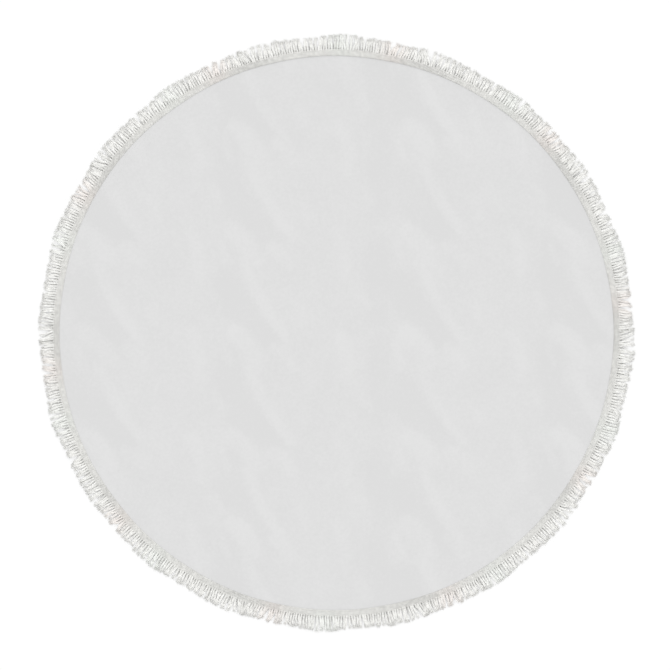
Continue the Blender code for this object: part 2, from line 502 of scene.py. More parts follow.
def add_values(piece: bpy.types.Object, name: str, values: Array) -> None:
    """Gives each point of a piece a number that its finish can read.

    Args:
        piece: The piece.
        name: The attribute's name.
        values: One number for each point.
    """
    attribute = piece.data.attributes.new(name, "FLOAT", "POINT")
    attribute.data.foreach_set("value", values.astype(np.float32).ravel())


def make_tubes(
    name: str, rings: Array, finish: bpy.types.Material, tint: float | Array, hue: float | Array
) -> bpy.types.Object:
    """Makes one piece of many closed tubes, with the shade and the hue that a yarn's finish reads.

    Args:
        name: The piece's name.
        rings: The tubes' points, with station, side and x, y, z on the last three axes.
        finish: The material.
        tint: Shades from 0 to 1: one for all, or an array that spreads over the rings' points.
        hue: Hues from -1 to 1, given the same way.

    Returns:
        The new object.
    """
    stations, sides = rings.shape[-3:-1]
    tubes = math.prod(rings.shape[:-3])
    corners = repeated(tube_corners(stations, sides), stations * sides, tubes)
    piece = make_piece(name, rings, corners, finish)
    for attribute, values in (("tint", tint), ("hue", hue)):
        add_values(piece, attribute, np.broadcast_to(values, rings.shape[:-1]))
    return piece


def report(piece: bpy.types.Object) -> None:
    """Logs a finished piece with its number of faces."""
    log.info("%s: %d faces", piece.name, len(piece.data.polygons))


class MixSocket(IntEnum):
    """A Mix node's sockets for colours, by number, because their names repeat."""

    SHARE = 0
    RESULT = 2
    LOW = 6
    HIGH = 7


class Coordinates(Enum):
    """Where on a piece a pattern is read: in metres, or on its UV map."""

    OBJECT = "Object"
    UV = "UV"


class Mixing(Enum):
    """How the second colour meets the first: it takes its place, or stains it as a dye does."""

    COVER = "MIX"
    STAIN = "MULTIPLY"


@dataclass(frozen=True)
class Grain:
    """A cloudy pattern in a finish.

    Fineness is how many times it repeats in a metre, or in a step of the UV map. Layers is how many
    finer layers it has, and share how much of it is added to a tone.
    """

    fineness: float
    layers: float
    share: float = 1.0


class Recipe:
    """A material's node tree, filled one node at a time."""

    def __init__(self, name: str) -> None:
        """Starts a material with its shader and output alone.

        Args:
            name: The material's name.
        """
        self.material = bpy.data.materials.new(name)
        self.material.use_nodes = True
        self.tree = self.material.node_tree
        self.shader = self.tree.nodes["Principled BSDF"]

    def add(self, kind: str, **settings: object) -> bpy.types.Node:
        """Adds a node and sets its properties.

        Args:
            kind: The node's type, without the word ShaderNode before it.
            **settings: The node's properties.

        Returns:
            The node.
        """
        node = self.tree.nodes.new("ShaderNode" + kind)
        for name, value in settings.items():
            setattr(node, name, value)
        return node

    def wire(self, source: bpy.types.NodeSocket, node: bpy.types.Node, socket: str | int) -> None:
        """Joins an output to a node's input."""
        self.tree.links.new(source, node.inputs[socket])

    def set_shader(self, roughness: float, sheen: float, sheen_roughness: float, gloss: float) -> None:
        """Sets the numbers that are the same all over a surface, on the shader's own sockets.

        Args:
            roughness: How matt it is.
            sheen: How much its fuzz shines at the edges.
            sheen_roughness: How wide that shine spreads.
            gloss: How strongly it mirrors, of which 0.5 is usual.
        """
        self.shader.inputs["Roughness"].default_value = roughness
        self.shader.inputs["Sheen Weight"].default_value = sheen
        self.shader.inputs["Sheen Roughness"].default_value = sheen_roughness
        self.shader.inputs["Specular IOR Level"].default_value = gloss

    def place(
        self, scale: Scale = (1.0, 1.0, 1.0), read: Coordinates = Coordinates.OBJECT
    ) -> bpy.types.NodeSocket:
        """The piece's own coordinates, scaled.

        Args:
            scale: How many times finer the pattern is along each axis.
            read: Which of the piece's coordinates.

        Returns:
            The scaled place.
        """
        coordinates = self.add("TexCoord")
        mapping = self.add("Mapping")
        mapping.inputs["Scale"].default_value = scale
        self.wire(coordinates.outputs[read.value], mapping, "Vector")
        return mapping.outputs["Vector"]

    def noise(self, place: bpy.types.NodeSocket, grain: Grain) -> bpy.types.NodeSocket:
        """A cloudy pattern's value.

        Args:
            place: Where the pattern is read.
            grain: The pattern.

        Returns:
            Its value, mostly between 0.3 and 0.7.
        """
        node = self.add("TexNoise")
        node.inputs["Scale"].default_value = grain.fineness
        node.inputs["Detail"].default_value = grain.layers
        self.wire(place, node, "Vector")
        return node.outputs["Fac"]

    def value(self, attribute: str) -> bpy.types.NodeSocket:
        """One of the piece's own numbers, by name."""
        return self.add("Attribute", attribute_name=attribute).outputs["Fac"]

    def spread(self, value: bpy.types.NodeSocket, ends: Place) -> bpy.types.NodeSocket:
        """Stretches the values between two ends to run from 0 to 1, and holds them there.

        Args:
            value: The values.
            ends: The values that become 0 and 1.

        Returns:
            The stretched values.
        """
        node = self.add("MapRange")
        node.inputs["From Min"].default_value, node.inputs["From Max"].default_value = ends
        self.wire(value, node, "Value")
        return node.outputs["Result"]

    def blend(
        self, share: bpy.types.NodeSocket, low: object, high: Colour, way: Mixing = Mixing.COVER
    ) -> bpy.types.NodeSocket:
        """Mixes two colours.

        Args:
            share: How much of the second colour is felt, from 0 to 1.
            low: The first, as a colour or a socket.
            high: The second.
            way: How the second meets the first.

        Returns:
            The mixed colour.
        """
        node = self.add("Mix", data_type="RGBA", blend_type=way.value)
        self.wire(share, node, MixSocket.SHARE)
        if isinstance(low, bpy.types.NodeSocket):
            self.wire(low, node, MixSocket.LOW)
        else:
            node.inputs[MixSocket.LOW].default_value = (*low, 1.0)
        node.inputs[MixSocket.HIGH].default_value = (*high, 1.0)
        return node.outputs[MixSocket.RESULT]

    def sum_of(
        self, first: bpy.types.NodeSocket, second: bpy.types.NodeSocket, share: float
    ) -> bpy.types.NodeSocket:
        """Adds a share of the second value to the first.

        Args:
            first: The value that is added to.
            second: The value that is added.
            share: What the second is multiplied by.

        Returns:
            The sum.
        """
        node = self.add("Math", operation="MULTIPLY_ADD")
        factor, times, addend = node.inputs
        times.default_value = share
        self.tree.links.new(second, factor)
        self.tree.links.new(first, addend)
        return node.outputs["Value"]

    def add_grain(
        self, tone: bpy.types.NodeSocket, place: bpy.types.NodeSocket, grain: Grain
    ) -> bpy.types.NodeSocket:
        """Adds a pattern's share to a tone.

        Args:
            tone: The tone.
            place: Where the pattern is read.
            grain: The pattern.

        Returns:
            The sum.
        """
        return self.sum_of(tone, self.noise(place, grain), grain.share)

    def paint(self, colour: bpy.types.NodeSocket) -> None:
        """Gives the shader its colour."""
        self.wire(colour, self.shader, "Base Color")

    def raise_by(self, height: bpy.types.NodeSocket, depth: float, strength: float) -> None:
        """Gives the shader a fine relief.

        Args:
            height: The relief's height, from 0 to 1.
            depth: What a height of 1 stands for, in metres.
            strength: How much of it is felt.
        """
        bump = self.add("Bump")
        bump.inputs["Distance"].default_value = depth
        bump.inputs["Strength"].default_value = strength
        self.wire(height, bump, "Height")
        self.wire(bump.outputs["Normal"], self.shader, "Normal")


@dataclass(frozen=True)
class PlushFinish:
    """Short, soft plush with a faint mottle and fine pile, its creases painted lighter, as highlight
    that is partly how the pile lies, and each lull painted darker, as shade.
    """

    shaded: Colour = (0.682, 0.682, 0.682)
    lit: Colour = (0.719, 0.719, 0.719)
    tones: Place = (0.97, 2.00)
    drift: Grain = Grain(fineness=9.0, layers=2.0)
    mottle: Grain = Grain(fineness=140.0, layers=3.0, share=1.8)
    # How much the painted crease highlight and lull shade move the tone.
    nap_and_light_lift: float = 0.42
    pile: Grain = Grain(fineness=950.0, layers=2.0)
    clumps: Grain = Grain(fineness=260.0, layers=1.0, share=0.5)
    pile_depth: float = 0.0005
    pile_strength: float = 0.35

    def build(self) -> bpy.types.Material:
        """Builds the plush.

        Returns:
            The material. Its colour rises with the attribute that paints highlight on creases and shade
            in each lull, and drifts with two noises.
        """
        recipe = Recipe("plush_grey")
        place = recipe.place()
        tone = recipe.add_grain(recipe.noise(place, self.drift), place, self.mottle)
        # Creases are painted lighter, as highlight partly from how the pile lies, and each lull darker,
        # as shade.
        tone = recipe.sum_of(tone, recipe.value("nap_and_painted_light"), self.nap_and_light_lift)
        recipe.paint(recipe.blend(recipe.spread(tone, self.tones), self.shaded, self.lit))
        pile = recipe.add_grain(recipe.noise(place, self.pile), place, self.clumps)
        recipe.raise_by(pile, self.pile_depth, self.pile_strength)
        recipe.set_shader(roughness=0.95, sheen=0.08, sheen_roughness=0.5, gloss=0.1)
        return recipe.material


@dataclass(frozen=True)
class CottonHue:
    """The slight drift in natural cotton's colour, from cool to rosy."""

    cool: Colour = (0.985, 1.000, 0.994)
    rosy: Colour = (1.000, 0.965, 0.957)

    def add_to(self, recipe: Recipe, base: bpy.types.NodeSocket) -> bpy.types.NodeSocket:
        """Stains a colour by the hue attribute: the more below 0 the cooler, above 0 the rosier.

        Args:
            recipe: The finish to add to.
            base: The colour.

        Returns:
            The stained colour.
        """
        hue = recipe.value("hue")
        for end, dye in ((-1.0, self.cool), (1.0, self.rosy)):
            base = recipe.blend(recipe.spread(hue, (0.0, end)), base, dye, Mixing.STAIN)
        return base


@dataclass(frozen=True)
class TapeFinish:
    """Woven natural cotton tape: painted darker between its ribs, as shade in the hollows, and mottled
    as finely as its threads.
    """

    # This first colour is painted shade between the ribs, and the crown colour is the cotton's lit tops.
    shaded_hollow: Colour = (0.430, 0.428, 0.413)
    crown: Colour = (0.940, 0.936, 0.904)
    tones: Place = (1.00, 2.60)
    thread: Grain = Grain(fineness=420.0, layers=2.0, share=1.4)
    patch: Grain = Grain(fineness=150.0, layers=2.0, share=1.2)
    weave_share: float = 0.28
    fuzz: Grain = Grain(fineness=1400.0, layers=2.0)
    fuzz_depth: float = 0.0002
    fuzz_strength: float = 0.5
    hue: CottonHue = CottonHue()

    def build(self) -> bpy.types.Material:
        """Builds the tape.

        Returns:
            The material. Its colour follows the relief attribute, which paints the weave's hollows
            darker as shade, the weave attribute and two noises, of which one is as fine as its threads.
        """
        recipe = Recipe("woven_cotton")
        place = recipe.place()
        # The weave's height paints its hollows darker, as shade.
        tone = recipe.add_grain(recipe.value("relief"), place, self.thread)
        tone = recipe.add_grain(tone, place, self.patch)
        tone = recipe.sum_of(tone, recipe.value("weave"), self.weave_share)
        colour = recipe.blend(recipe.spread(tone, self.tones), self.shaded_hollow, self.crown)
        recipe.paint(self.hue.add_to(recipe, colour))
        recipe.raise_by(recipe.noise(place, self.fuzz), self.fuzz_depth, self.fuzz_strength)
        recipe.set_shader(roughness=0.9, sheen=0.05, sheen_roughness=0.5, gloss=0.15)
        return recipe.material


@dataclass(frozen=True)
class YarnFinish:
    """Loosely twisted natural cotton yarn, its shade different from yarn to yarn, and on the fringe
    painted lighter and darker along each yarn as light and shade.
    """

    name: str = "fringe_cotton"
    dull: Colour = (0.660, 0.657, 0.631)
    bright: Colour = (0.990, 0.987, 0.965)
    tones: Place = (0.80, 1.87)
    fleck: Grain = Grain(fineness=270.0, layers=2.0, share=1.7)
    fibre_scale: Scale = (0.6, 3.0, 1.0)
    fibre: Grain = Grain(fineness=2.0, layers=3.0)
    fibre_depth: float = 0.00015
    fibre_strength: float = 0.6
    hue: CottonHue = CottonHue()

    def build(self) -> bpy.types.Material:
        """Builds the yarn.

        Returns:
            The material. Its colour follows the tint attribute, which on the fringe carries painted
            light and shade, and its relief is drawn-out fibres.
        """
        recipe = Recipe(self.name)
        tone = recipe.add_grain(recipe.value("tint"), recipe.place(), self.fleck)
        colour = recipe.blend(recipe.spread(tone, self.tones), self.dull, self.bright)
        recipe.paint(self.hue.add_to(recipe, colour))
        along = recipe.place(self.fibre_scale, Coordinates.UV)
        recipe.raise_by(recipe.noise(along, self.fibre), self.fibre_depth, self.fibre_strength)
        recipe.set_shader(roughness=0.9, sheen=0.1, sheen_roughness=0.5, gloss=0.15)
        return recipe.material


@dataclass(frozen=True)
class FloorFinish:
    """A plain matt white floor."""

    low: Colour = (0.94, 0.94, 0.94)
    high: Colour = (0.96, 0.96, 0.96)
    cloud: Grain = Grain(fineness=3.0, layers=2.0)

    def build(self) -> bpy.types.Material:
        """Builds the floor's white, with a faint cloudiness.

        Returns:
            The material.
        """
        recipe = Recipe("white_floor")
        cloud = recipe.noise(recipe.place(), self.cloud)
        recipe.paint(recipe.blend(cloud, self.low, self.high))
        recipe.set_shader(roughness=0.9, sheen=0.0, sheen_roughness=0.5, gloss=0.1)
        return recipe.material


@dataclass(frozen=True)
class Crease:
    """One soft crease, from its start past its bend to its end, measured from its cell's corner.

    One with no height is a lull: it has no relief and is only painted darker, as the shade beside a
    fold.
    """

    start: Place
    bend: Place
    end: Place
    width: float
    height: float = 0.0

    def route(self, corner: Array, steps: int = 7) -> Array:
        """Points along the crease: a curve of the second degree from start to end, drawn to the bend.

        Args:
            corner: The cell's corner.
            steps: How many points there are.

        Returns:
            Points shaped (steps, 2).
        """
        t = np.linspace(0.0, 1.0, steps)[:, None]
        start, bend, end = (np.array(place) for place in (self.start, self.bend, self.end))
        return corner + (1 - t) ** 2 * start + 2 * t * (1 - t) * bend + t**2 * end


def crease_share(points: Array, route: Array, width: float) -> Array:
    """How much of a crease stands at each point, from 0 to 1.

    The distance to the nearest of the route's straight steps, as a share of half the width, goes
    through a squared cosine. The square root of a sine along the route fades both ends.

    Args:
        points: Places shaped (points, 2).
        route: The crease's points, shaped (steps, 2).
        width: The crease's whole width.

    Returns:
        One share for each place.
    """
    step = np.diff(route, axis=0)
    from_start = points[:, None] - route[:-1]
    along = np.clip((from_start * step).sum(-1) / (step**2).sum(-1), 0.0, 1.0)
    gap = np.linalg.norm(from_start - along[..., None] * step, axis=-1)
    each = np.arange(len(points))
    nearest = gap.argmin(axis=1)
    across = np.clip(gap[each, nearest] / (width / 2), 0.0, 1.0)
    travelled = (nearest + along[each, nearest]) / len(step)
    return np.cos(across * math.pi / 2) ** 2 * np.sqrt(np.sin(travelled * math.pi).clip(0.0))


@dataclass
class PlushCloth:
    """The disc of plush cloth: one thin closed sheet with soft creases in even rows."""

    plan: TowelPlan
    finish: PlushFinish
    divisions: int = 200
    edge_steps: int = 4
    swell_height: float = 0.0012
    swell_pitch_across: float = 0.405
    swell_pitch_down: float = 0.26
    swell_slant: float = 0.55
    swell_middle: Place = (-0.10, -0.035)
    swell_rim: float = 0.05
    crease_rim: float = 0.012
    crease_columns: tuple[float, ...] = (-0.656, -0.272, 0.169, 0.560)
    crease_rows: tuple[float, ...] = (0.775, 0.538, 0.269, 0.013, -0.255, -0.479)
    crease_shift: float = 0.006
    seed: int = 11
    creases: tuple[Crease, ...] = (
        Crease((-0.013, 0.000), (0.050, -0.020), (0.077, -0.105), width=0.078, height=0.0005),
        Crease((0.040, -0.080), (0.085, -0.215), (0.166, -0.301), width=0.044, height=0.0005),
        Crease((0.095, -0.045), (0.140, -0.055), (0.168, -0.110), width=0.055, height=0.0004),
        Crease((0.265, 0.000), (0.310, -0.040), (0.300, -0.140), width=0.052, height=0.0004),
        Crease((0.180, -0.190), (0.190, -0.220), (0.196, -0.255), width=0.040, height=0.0003),
        Crease((0.330, -0.160), (0.352, -0.180), (0.360, -0.215), width=0.040, height=0.0003),
        Crease((-0.020, -0.030), (-0.012, -0.070), (0.004, -0.100), width=0.032, height=0.0003),
    )
    # Each lull is a patch painted darker, as the shade beside a fold, with no relief.
    shaded_lulls: tuple[Crease, ...] = (
        Crease((-0.013, -0.108), (-0.012, -0.212), (0.140, -0.307), width=0.125),
        Crease((0.384, -0.005), (0.376, -0.130), (0.388, -0.255), width=0.095),
    )
    strengths: Place = (0.8, 1.1)
    nap_and_light_edge: float = 1.7

    def disc(self) -> tuple[Array, Array]:
        """Spreads a square grid over the cloth, with no pole in its middle.

        With u and v from -1 to 1, x is u times the root of 1 less half v squared, and y is v times the
        root of 1 less half u squared. The radius then follows the sewn edge, more the further out.

        Returns:
            x and y, each shaped (divisions + 1, divisions + 1).
        """
        run = np.linspace(-1.0, 1.0, self.divisions + 1)
        v, u = np.meshgrid(run, run, indexing="ij")
        x, y = u * np.sqrt(1 - v**2 / 2), v * np.sqrt(1 - u**2 / 2)
        flat_edge = self.plan.cloth_radius - self.plan.edge_rounding
        reach = flat_edge * (1 + self.plan.wander(np.arctan2(y, x)) / self.plan.cloth_radius)
        return x * reach, y * reach

    def swell(self, x: Array, y: Array) -> Array:
        """The cloth's broad swells, as its solid has them.

        One wave runs square to the slanted creases and one down the rows. Their mean, from 0 to 1,
        times the swell's height fades out before the heading.

        Args:
            x: Places across.
            y: Places up the picture.

        Returns:
            The height over flat cloth.
        """
        from_x, from_y = x - self.swell_middle[0], y - self.swell_middle[1]
        across = (from_x + self.swell_slant * from_y) / self.swell_pitch_across
        down_wave = np.cos(math.tau * from_y / self.swell_pitch_down)
        cell = 0.5 + 0.25 * (np.cos(math.tau * across) + down_wave)
        fade = ease((self.plan.heading_inner - self.swell_rim - np.hypot(x, y)) / self.swell_rim)
        return self.swell_height * cell * fade

    def crease_field(self, x: Array, y: Array) -> tuple[Array, Array]:
        """The soft creases of every cell, each cell a little shifted and stronger or weaker.

        Args:
            x: Places across.
            y: Places up the picture.

        Returns:
            The creases' height, and the painted light: about 1 on a crease, a painted highlight that is
            partly how the pile lies, and -1 in a lull, painted shade.
        """
        dice = np.random.default_rng(self.seed)
        places = np.stack((x, y), axis=-1).reshape(-1, 2)
        height, pale, dull = (np.zeros(len(places)) for _ in range(3))
        tallest = max(crease.height for crease in self.creases)
        for left in self.crease_columns:
            for top in self.crease_rows:
                corner = np.array((left, top)) + dice.uniform(-1, 1, 2) * self.crease_shift
                for crease in self.creases + self.shaded_lulls:
                    route, strength = crease.route(corner), dice.uniform(*self.strengths)
                    low, high = route.min(axis=0) - crease.width, route.max(axis=0) + crease.width
                    near = ((places > low) & (places < high)).all(axis=1)
                    share = crease_share(places[near], route, crease.width)
                    flat = strength * np.minimum(self.nap_and_light_edge * share, 1.0)
                    height[near] = np.maximum(height[near], strength * share * crease.height)
                    # The pale share is painted highlight on the creases, and the dull share is painted
                    # shade in each lull.
                    pale[near] = np.maximum(pale[near], flat * crease.height / tallest)
                    dull[near] = np.maximum(dull[near], flat * (crease.height == 0.0))
        fade = ease((self.plan.heading_inner - np.hypot(x, y)) / self.crease_rim)
        lie = pale - dull * (1 - pale.clip(0.0, 1.0))
        return height.reshape(x.shape) * fade, lie.reshape(x.shape)

    def rim(self) -> NDArray[np.int32]:
        """Lists the grid's outer points, once round against the clock.

        Returns:
            Their numbers.
        """
        count = self.divisions + 1
        number = np.arange(count * count, dtype=np.int32).reshape(count, count)
        sides = (number[0, :-1], number[:-1, -1], number[-1, :0:-1], number[:0:-1, 0])
        return np.concatenate(sides)

    def edge_points(self, x: Array, y: Array) -> Array:
        """The rounded edge between the face and the underside.

        An eased half circle is carried round the rim: outwards by the sine of the angle times the
        edge's rounding, and down by its cosine from the face to the underside.

        Args:
            x: The rim's places across.
            y: The rim's places up the picture.

        Returns:
            Points shaped (steps, rim points, 3).
        """
        angle = np.linspace(0.0, math.pi, self.edge_steps + 2)[1:-1, None]
        grow = 1 + self.plan.edge_rounding * np.sin(angle) / np.hypot(x, y)
        up = self.plan.cloth_thickness * (1 + np.cos(angle)) / 2
        return np.stack(np.broadcast_arrays(x * grow, y * grow, up), axis=-1)

    def build(self) -> bpy.types.Object:
        """Builds the cloth: its face, its rounded edge and its flat underside in one closed mesh.

        Returns:
            The finished piece.
        """
        x, y = self.disc()
        creases, lie = self.crease_field(x, y)
        face = np.stack((x, y, self.plan.cloth_thickness + self.swell(x, y) + creases), axis=-1)
        under = np.stack((x, y, np.zeros_like(x)), axis=-1)
        count, rim = self.divisions + 1, self.rim()
        edge = self.edge_points(x.ravel()[rim], y.ravel()[rim])
        sheet = grid_corners(count, count, wrap_rows=False, wrap_columns=False)
        band = grid_corners(self.edge_steps + 2, len(rim), wrap_rows=False, wrap_columns=True)
        first_edge = 2 * count * count
        between = first_edge + np.arange(edge.shape[0] * len(rim), dtype=np.int32)
        numbers = np.concatenate((rim, between, rim + count * count))
        faces = (sheet.faces, sheet.faces[:, ::-1] + count * count, numbers[band.faces][:, ::-1])
        points = np.concatenate((face.reshape(-1, 3), under.reshape(-1, 3), edge.reshape(-1, 3)))
        joined = np.concatenate(faces).astype(np.int32)
        corners = Corners(joined, points[joined][..., :2])
        piece = make_piece("plush_disc", points, corners, self.finish.build())
        # The face's points carry the painted crease highlight and lull shade.
        nap_and_painted_light = np.zeros(len(points))
        nap_and_painted_light[: lie.size] = lie.ravel()
        add_values(piece, "nap_and_painted_light", nap_and_painted_light)
        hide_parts(CLOTH_NODE)
        return piece


@dataclass
class WovenHeading:
    """The trim's heading: a flat cotton tape woven in small checks, laid over the cloth's edge."""

    plan: TowelPlan
    tape: TuftTape
    finish: TapeFinish
    columns_each: int = 4
    rows: int = 14
    rows_each: int = 4
    relief: float = 0.00040
    selvedge: float = 0.00045
    selvedge_width: float = 0.0022
    edge_bulge: float = 0.0002
    inner_press: float = 0.0006
    inner_press_width: float = 0.0035
    lifted_at: float = math.radians(80.0)
    lifted_half: float = math.radians(80.0)
    yarn_side_fall: float = 0.0006
    yarn_side_width: float = 0.0055

    def weave(self, column: Array, across: Array) -> Array:
        """The weave's height from 0 to 1: half of one plus a cosine along times a cosine across.

        Args:
            column: Column numbers, of which one yarn's pair of checks has columns_each.
            across: Row numbers, of which one pair of checks has rows_each.

        Returns:
            The height at each point.
        """
        along_wave = np.cos(math.tau * column / self.columns_each)
        across_wave = np.cos(math.tau * across / self.rows_each)
        return 0.5 + 0.5 * along_wave * across_wave

    def pressed(self, angle: Array) -> Array:
        """How far the inner edge is pressed down: fully, but easing to nothing at the top."""
        from_top = np.abs((angle - self.lifted_at + math.pi) % math.tau - math.pi)
        return self.inner_press * ease(from_top / self.lifted_half)

    def build(self) -> bpy.types.Object:
        """Builds the tape: a closed outline of its section carried once round the towel.

        The section runs over the face from the inner to the outer edge, down, and back underneath.
        The face is raised by the weave, and falls off in a quarter round along each edge. On the
        yarns' side it also falls away gently, so that their roots come out of it, and on the inner
        side it is pressed down.

        Returns:
            The finished piece.
        """
        columns = self.tape.steps * self.columns_each
        angle = self.tape.join - math.tau * np.arange(columns, 0, -1)[:, None] / columns
        share = np.linspace(0.0, 1.0, self.rows)
        weave = self.weave(np.arange(columns)[:, None], np.arange(self.rows)[None, :])
        width = self.plan.heading_width
        from_edge = np.minimum(share, 1 - share) * width
        fall = self.selvedge * (1 - np.sin(np.clip(from_edge / self.selvedge_width, 0, 1) * math.pi / 2))
        fall = fall + self.yarn_side_fall * ease(1 - (1 - share) * width / self.yarn_side_width)
        fall = fall + self.pressed(angle) * ease(1 - share * width / self.inner_press_width)
        top = self.plan.heading_top - self.relief + self.relief * weave - fall
        low = np.full((columns, 2), self.plan.heading_bottom)
        inner_side = (top[:, :1] + self.plan.heading_bottom) / 2
        outer_side = np.full((columns, 1), self.plan.heading_bottom + self.plan.trim_gap / 2)
        up = np.concatenate((top, outer_side, low, inner_side), axis=1)
        bulge = self.edge_bulge
        section = np.concatenate((share * width, (width + bulge,), (width, 0.0), (-bulge,)))
        out = (section - width)[None, :]
        points = self.plan.place(angle, out, 0.0, up)
        corners = grid_corners(columns, up.shape[1], wrap_rows=True, wrap_columns=True)
        turned = Corners(corners.faces[:, ::-1], corners.uv[:, ::-1] / self.columns_each)
        piece = make_piece("woven_heading", points, turned, self.finish.build())
        # The weave's height, which the tape's finish paints as shade in the hollows.
        relief = np.zeros_like(up)
        relief[:, : self.rows] = weave
        add_values(piece, "relief", relief)
        for field in ("hue", "weave"):
            add_values(piece, field, np.broadcast_to(self.tape.along(angle, field), up.shape))
        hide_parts(TRIM_NODE)
        return piece


@dataclass
class Lockstitch:
    """The rows of thread that sew the heading to the cloth."""

    plan: TowelPlan
    finish: YarnFinish
    rows_in_from_edge: Place = (0.0022, 0.0143)
    stitches: int = 1360
    length_share: float = 0.78
    thread_radius: float = 0.00026
    end_share: float = 0.55
    rise: float = 0.00035
    stations: int = 5
    sides: int = 4
    tint: float = 0.4

    def build(self) -> bpy.types.Object:
        """Builds both rows: each stitch is a short arc that dips into the tape at its ends.

        Along a stitch, the angle runs evenly and the height is the tape's face plus the rise times the
        sine of a half turn less a half. Its radius grows from the end's share to the whole and back
        with the same sine.

        Returns:
            The finished piece.
        """
        t = np.linspace(0.0, 1.0, self.stations)
        pitch = math.tau / self.stitches
        angle = (np.arange(self.stitches)[:, None] + self.length_share * (t - 0.5)) * pitch
        arc = np.sin(math.pi * t)
        up = self.plan.heading_top + self.rise * (arc - 0.5)
        rows = [self.plan.place(angle, -inwards, 0.0, up) for inwards in self.rows_in_from_edge]
        centre = np.concatenate(rows)
        radius = self.thread_radius * (self.end_share + (1 - self.end_share) * arc)
        rings = tube_rings(centre, np.broadcast_to(radius, centre.shape[:2]), self.sides)
        piece = make_tubes("heading_lockstitch", rings, self.finish.build(), self.tint, 0.0)
        return piece


class Side(Enum):
    """A yarn's sides, by the name of the chart's digit for the gap there, clockwise."""

    BEFORE = "before"
    AFTER = "after"


@dataclass(frozen=True)
class YarnSection:
    """A yarn's make-up at one place along it: its plies' sizes as shares of its half width, and its
    tone, which is painted light.
    """

    along: float
    ply_radius: float
    ply_offset: float
    tone: float


@dataclass(frozen=True)
class GapShape:
    """How a digit of the gap chart is made: how far a yarn's side is drawn in, and how far up."""

    inset: float
    length: float


